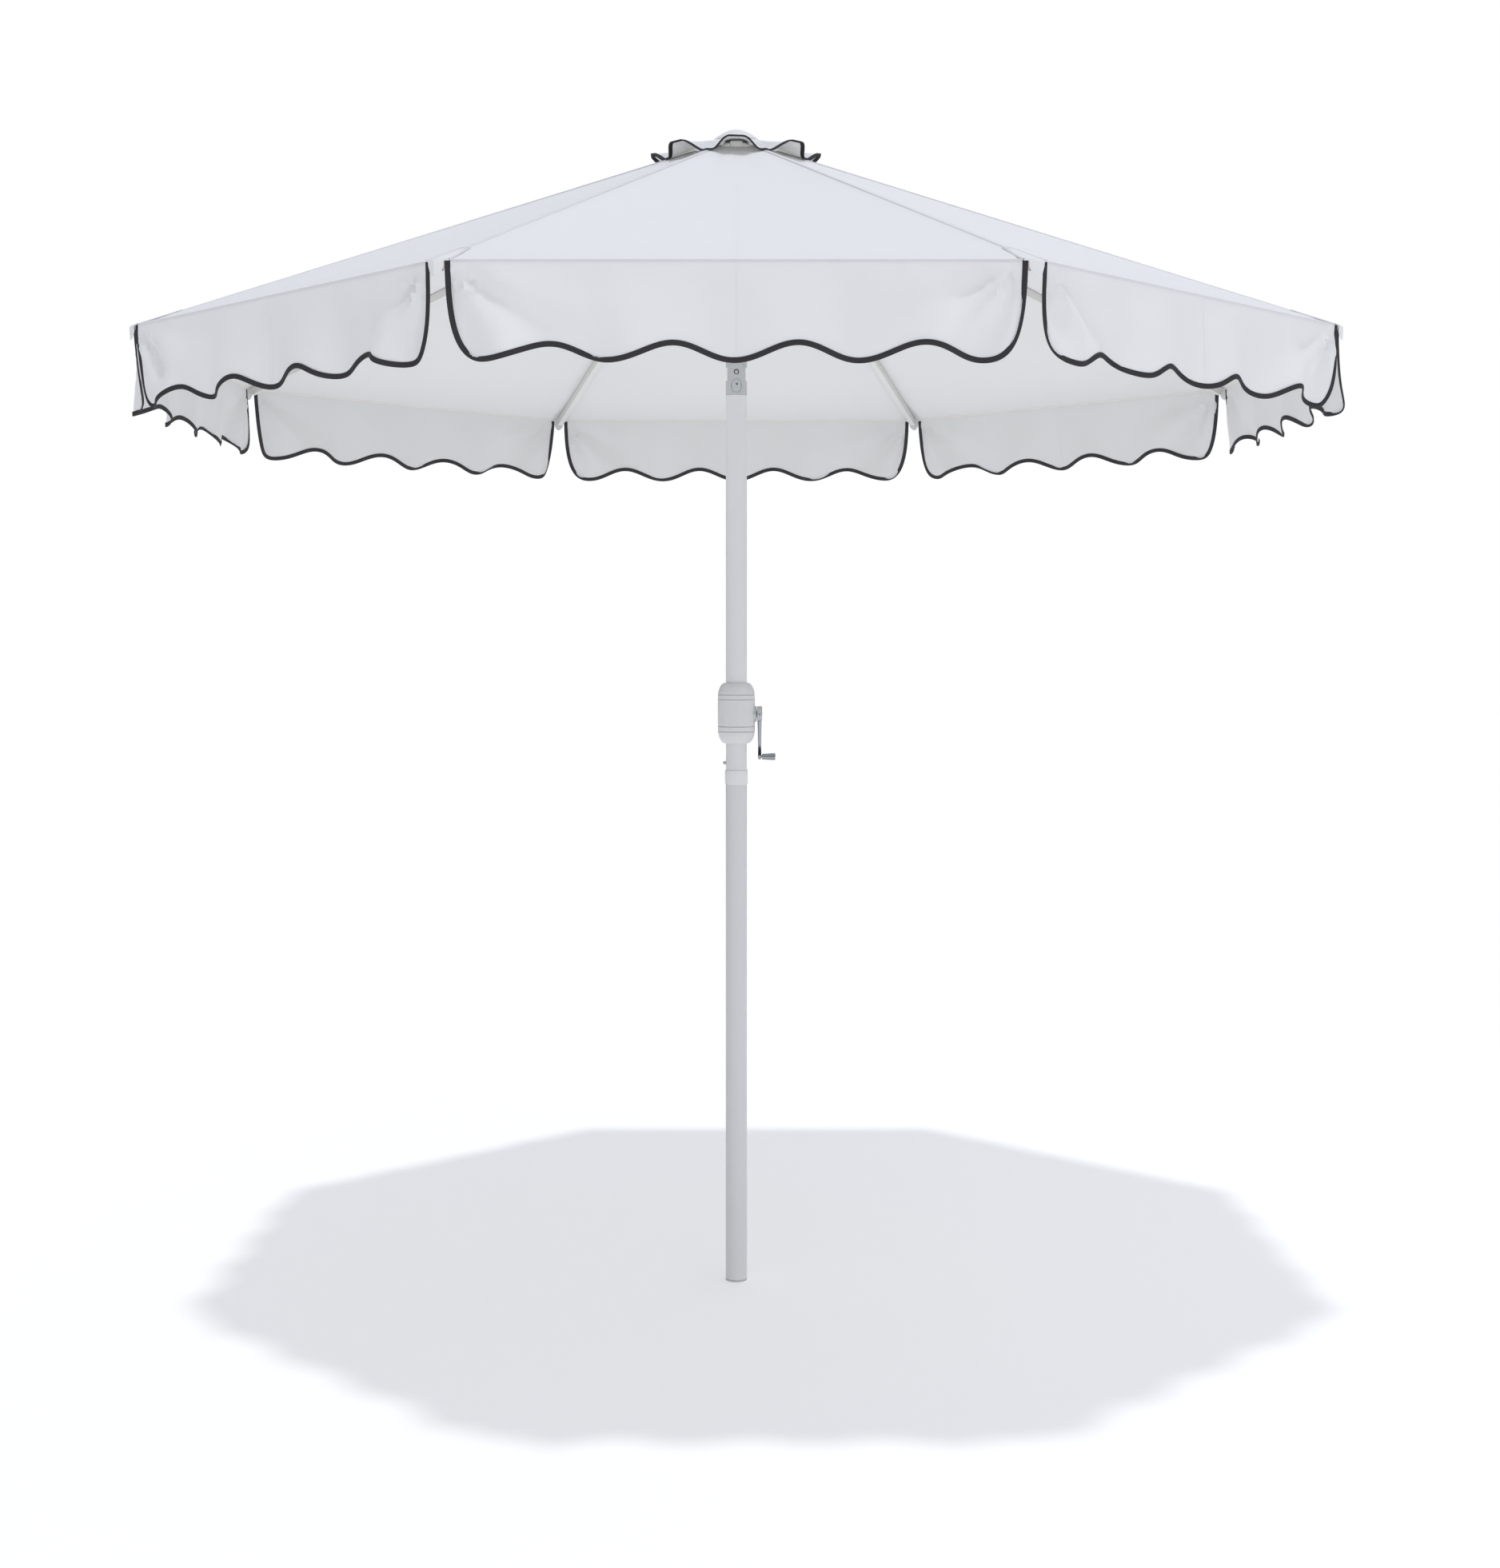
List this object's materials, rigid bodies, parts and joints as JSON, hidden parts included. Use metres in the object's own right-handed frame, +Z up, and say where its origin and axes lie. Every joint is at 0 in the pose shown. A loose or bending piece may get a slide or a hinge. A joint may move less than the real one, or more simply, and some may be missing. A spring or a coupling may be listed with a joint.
{
  "type": "patio umbrella",
  "caption": "Octagonal patio umbrella with a vent cap, a scalloped drape valance, a jointed pole, a crank lift and a push-button tilt.",
  "frame": {"origin": "centre of the pole's foot, on the flat underside of the foot plug", "axes": "+Z up along the pole; one flat side of the octagon faces -Y; the crank is on +X and the tilt button on -Y"},
  "size_m": [2.4416, 2.4416, 2.5964],
  "materials": {
    "canopy_cloth": "matt woven polyester",
    "pole_coating": "satin light grey powder coat",
    "rib_coating": "satin light grey powder coat",
    "grey_plastic": "fine-grained moulded plastic",
    "zinc": "satin zinc casting",
    "chrome": "bright chrome plate",
    "steel": "plain bright steel",
    "cord": "braided polyester cord"
  },
  "bodies": {
    "pole": {"lower_pole": "pole_coating", "pole_foot_plug": "grey_plastic", "pole_collar": "grey_plastic", "upper_pole": "pole_coating", "crank_housing_front": "grey_plastic", "crank_housing_back": "grey_plastic", "crank_bush": "zinc", "lift_cord_lower": "cord", "tilt_knuckle_base": "zinc", "tilt_rivet": "steel"},
    "crank": {"crank_drum": "steel", "crank_arm": "chrome"},
    "grip": {"crank_grip": "chrome"},
    "snap_button": {"snap_button": "steel"},
    "tilt_button": {"tilt_button": "zinc"},
    "head": {"tilt_knuckle_head": "zinc", "mast_tube": "pole_coating", "top_hub": "grey_plastic", "hub_ring": "steel", "hub_cap": "grey_plastic", "crown_cap": "canopy_cloth", "pulley_pin": "steel", "lift_cord_upper": "cord", "lift_cord_fall": "cord", "vent_cap": "canopy_cloth"},
    "pulley": {"pulley": "grey_plastic"},
    "runner": {"runner": "grey_plastic", "runner_ring": "steel"},
    "rib_1": {"rib_1": "rib_coating", "canopy_panel_1": "canopy_cloth"},
    "strut_1": {"strut_1": "rib_coating"},
    "valance_1": {"valance_1": "canopy_cloth"},
    "rib_2": {"rib_2": "rib_coating", "canopy_panel_2": "canopy_cloth"},
    "strut_2": {"strut_2": "rib_coating"},
    "valance_2": {"valance_2": "canopy_cloth"},
    "rib_3": {"rib_3": "rib_coating", "canopy_panel_3": "canopy_cloth"},
    "strut_3": {"strut_3": "rib_coating"},
    "valance_3": {"valance_3": "canopy_cloth"},
    "rib_4": {"rib_4": "rib_coating", "canopy_panel_4": "canopy_cloth"},
    "strut_4": {"strut_4": "rib_coating"},
    "valance_4": {"valance_4": "canopy_cloth"},
    "rib_5": {"rib_5": "rib_coating", "canopy_panel_5": "canopy_cloth"},
    "strut_5": {"strut_5": "rib_coating"},
    "valance_5": {"valance_5": "canopy_cloth"},
    "rib_6": {"rib_6": "rib_coating", "canopy_panel_6": "canopy_cloth"},
    "strut_6": {"strut_6": "rib_coating"},
    "valance_6": {"valance_6": "canopy_cloth"},
    "rib_7": {"rib_7": "rib_coating", "canopy_panel_7": "canopy_cloth"},
    "strut_7": {"strut_7": "rib_coating"},
    "valance_7": {"valance_7": "canopy_cloth"},
    "rib_8": {"rib_8": "rib_coating", "canopy_panel_8": "canopy_cloth"},
    "strut_8": {"strut_8": "rib_coating"},
    "valance_8": {"valance_8": "canopy_cloth"}
  },
  "joints": [
    {"name": "tilt", "type": "hinge", "parent": "pole", "child": "head", "pos_m": [0, 0, 2.048], "axis": [0, 1, 0], "range_deg": [-35, 0]},
    {"name": "runner_slide", "type": "slide", "parent": "head", "child": "runner", "axis": [0, 0, -1], "range_m": [0, 0.6749], "deforming": ["lift_cord_fall", "vent_cap", "canopy_panel_1", "canopy_panel_2", "canopy_panel_3", "canopy_panel_4", "canopy_panel_5", "canopy_panel_6", "canopy_panel_7", "canopy_panel_8", "valance_1", "valance_2", "valance_3", "valance_4", "valance_5", "valance_6", "valance_7", "valance_8"]},
    {"name": "crank_spin", "type": "hinge", "parent": "pole", "child": "crank", "pos_m": [0, 0, 1.2775], "axis": [1, 0, 0], "range_deg": [0, 3600.5]},
    {"name": "grip_spin", "type": "hinge", "parent": "crank", "child": "grip", "pos_m": [0.073, 0, 1.181], "axis": [1, 0, 0], "continuous": true},
    {"name": "pulley_spin", "type": "hinge", "parent": "head", "child": "pulley", "pos_m": [0.015, 0, 2.49], "axis": [0, 1, 0], "range_deg": [-0.5, 3251]},
    {"name": "tilt_button_press", "type": "slide", "parent": "pole", "child": "tilt_button", "axis": [0, 1, 0], "range_m": [0, 0.0035], "stiffness_N_per_m": 800, "springref_m": -0.002},
    {"name": "snap_button_press", "type": "slide", "parent": "pole", "child": "snap_button", "axis": [1, 0, 0], "range_m": [0, 0.0065], "stiffness_N_per_m": 900, "springref_m": -0.002},
    {"name": "rib_1_fold", "type": "hinge", "parent": "head", "child": "rib_1", "pos_m": [0.0425, 0.0176, 2.54815], "axis": [-0.3827, 0.9239, 0], "range_deg": [-0.05, 65.33]},
    {"name": "strut_1_fold", "type": "hinge", "parent": "rib_1", "child": "strut_1", "pos_m": [0.51147, 0.21186, 2.33565], "axis": [-0.3827, 0.9239, 0], "range_deg": [-130.67, 0.1]},
    {"name": "valance_1_hang", "type": "hinge", "parent": "rib_1", "child": "valance_1", "pos_m": [1.21952, 0.50514, 2.076], "axis": [-0.3827, 0.9239, 0], "range_deg": [-65.33, 0.05]},
    {"name": "rib_2_fold", "type": "hinge", "parent": "head", "child": "rib_2", "pos_m": [0.0176, 0.0425, 2.54815], "axis": [-0.9239, 0.3827, 0], "range_deg": [-0.05, 65.33]},
    {"name": "strut_2_fold", "type": "hinge", "parent": "rib_2", "child": "strut_2", "pos_m": [0.21186, 0.51147, 2.33565], "axis": [-0.9239, 0.3827, 0], "range_deg": [-130.67, 0.1]},
    {"name": "valance_2_hang", "type": "hinge", "parent": "rib_2", "child": "valance_2", "pos_m": [0.50514, 1.21952, 2.076], "axis": [-0.9239, 0.3827, 0], "range_deg": [-65.33, 0.05]},
    {"name": "rib_3_fold", "type": "hinge", "parent": "head", "child": "rib_3", "pos_m": [-0.0176, 0.0425, 2.54815], "axis": [-0.9239, -0.3827, 0], "range_deg": [-0.05, 65.33]},
    {"name": "strut_3_fold", "type": "hinge", "parent": "rib_3", "child": "strut_3", "pos_m": [-0.21186, 0.51147, 2.33565], "axis": [-0.9239, -0.3827, 0], "range_deg": [-130.67, 0.1]},
    {"name": "valance_3_hang", "type": "hinge", "parent": "rib_3", "child": "valance_3", "pos_m": [-0.50514, 1.21952, 2.076], "axis": [-0.9239, -0.3827, 0], "range_deg": [-65.33, 0.05]},
    {"name": "rib_4_fold", "type": "hinge", "parent": "head", "child": "rib_4", "pos_m": [-0.0425, 0.0176, 2.54815], "axis": [-0.3827, -0.9239, 0], "range_deg": [-0.05, 65.33]},
    {"name": "strut_4_fold", "type": "hinge", "parent": "rib_4", "child": "strut_4", "pos_m": [-0.51147, 0.21186, 2.33565], "axis": [-0.3827, -0.9239, 0], "range_deg": [-130.67, 0.1]},
    {"name": "valance_4_hang", "type": "hinge", "parent": "rib_4", "child": "valance_4", "pos_m": [-1.21952, 0.50514, 2.076], "axis": [-0.3827, -0.9239, 0], "range_deg": [-65.33, 0.05]},
    {"name": "rib_5_fold", "type": "hinge", "parent": "head", "child": "rib_5", "pos_m": [-0.0425, -0.0176, 2.54815], "axis": [0.3827, -0.9239, 0], "range_deg": [-0.05, 65.33]},
    {"name": "strut_5_fold", "type": "hinge", "parent": "rib_5", "child": "strut_5", "pos_m": [-0.51147, -0.21186, 2.33565], "axis": [0.3827, -0.9239, 0], "range_deg": [-130.67, 0.1]},
    {"name": "valance_5_hang", "type": "hinge", "parent": "rib_5", "child": "valance_5", "pos_m": [-1.21952, -0.50514, 2.076], "axis": [0.3827, -0.9239, 0], "range_deg": [-65.33, 0.05]},
    {"name": "rib_6_fold", "type": "hinge", "parent": "head", "child": "rib_6", "pos_m": [-0.0176, -0.0425, 2.54815], "axis": [0.9239, -0.3827, 0], "range_deg": [-0.05, 65.33]},
    {"name": "strut_6_fold", "type": "hinge", "parent": "rib_6", "child": "strut_6", "pos_m": [-0.21186, -0.51147, 2.33565], "axis": [0.9239, -0.3827, 0], "range_deg": [-130.67, 0.1]},
    {"name": "valance_6_hang", "type": "hinge", "parent": "rib_6", "child": "valance_6", "pos_m": [-0.50514, -1.21952, 2.076], "axis": [0.9239, -0.3827, 0], "range_deg": [-65.33, 0.05]},
    {"name": "rib_7_fold", "type": "hinge", "parent": "head", "child": "rib_7", "pos_m": [0.0176, -0.0425, 2.54815], "axis": [0.9239, 0.3827, 0], "range_deg": [-0.05, 65.33]},
    {"name": "strut_7_fold", "type": "hinge", "parent": "rib_7", "child": "strut_7", "pos_m": [0.21186, -0.51147, 2.33565], "axis": [0.9239, 0.3827, 0], "range_deg": [-130.67, 0.1]},
    {"name": "valance_7_hang", "type": "hinge", "parent": "rib_7", "child": "valance_7", "pos_m": [0.50514, -1.21952, 2.076], "axis": [0.9239, 0.3827, 0], "range_deg": [-65.33, 0.05]},
    {"name": "rib_8_fold", "type": "hinge", "parent": "head", "child": "rib_8", "pos_m": [0.0425, -0.0176, 2.54815], "axis": [0.3827, 0.9239, 0], "range_deg": [-0.05, 65.33]},
    {"name": "strut_8_fold", "type": "hinge", "parent": "rib_8", "child": "strut_8", "pos_m": [0.51147, -0.21186, 2.33565], "axis": [0.3827, 0.9239, 0], "range_deg": [-130.67, 0.1]},
    {"name": "valance_8_hang", "type": "hinge", "parent": "rib_8", "child": "valance_8", "pos_m": [1.21952, -0.50514, 2.076], "axis": [0.3827, 0.9239, 0], "range_deg": [-65.33, 0.05]}
  ],
  "couplings": [
    {"joint": "crank_spin", "follows": "runner_slide", "rad_per_m": 93.098},
    {"joint": "pulley_spin", "follows": "runner_slide", "rad_per_m": 84.034},
    {"joint": "rib_1_fold", "follows": "runner_slide", "rad_per_m": 1.6883},
    {"joint": "strut_1_fold", "follows": "runner_slide", "rad_per_m": -3.3766},
    {"joint": "valance_1_hang", "follows": "runner_slide", "rad_per_m": -1.6883},
    {"joint": "rib_2_fold", "follows": "runner_slide", "rad_per_m": 1.6883},
    {"joint": "strut_2_fold", "follows": "runner_slide", "rad_per_m": -3.3766},
    {"joint": "valance_2_hang", "follows": "runner_slide", "rad_per_m": -1.6883},
    {"joint": "rib_3_fold", "follows": "runner_slide", "rad_per_m": 1.6883},
    {"joint": "strut_3_fold", "follows": "runner_slide", "rad_per_m": -3.3766},
    {"joint": "valance_3_hang", "follows": "runner_slide", "rad_per_m": -1.6883},
    {"joint": "rib_4_fold", "follows": "runner_slide", "rad_per_m": 1.6883},
    {"joint": "strut_4_fold", "follows": "runner_slide", "rad_per_m": -3.3766},
    {"joint": "valance_4_hang", "follows": "runner_slide", "rad_per_m": -1.6883},
    {"joint": "rib_5_fold", "follows": "runner_slide", "rad_per_m": 1.6883},
    {"joint": "strut_5_fold", "follows": "runner_slide", "rad_per_m": -3.3766},
    {"joint": "valance_5_hang", "follows": "runner_slide", "rad_per_m": -1.6883},
    {"joint": "rib_6_fold", "follows": "runner_slide", "rad_per_m": 1.6883},
    {"joint": "strut_6_fold", "follows": "runner_slide", "rad_per_m": -3.3766},
    {"joint": "valance_6_hang", "follows": "runner_slide", "rad_per_m": -1.6883},
    {"joint": "rib_7_fold", "follows": "runner_slide", "rad_per_m": 1.6883},
    {"joint": "strut_7_fold", "follows": "runner_slide", "rad_per_m": -3.3766},
    {"joint": "valance_7_hang", "follows": "runner_slide", "rad_per_m": -1.6883},
    {"joint": "rib_8_fold", "follows": "runner_slide", "rad_per_m": 1.6883},
    {"joint": "strut_8_fold", "follows": "runner_slide", "rad_per_m": -3.3766},
    {"joint": "valance_8_hang", "follows": "runner_slide", "rad_per_m": -1.6883}
  ]
}
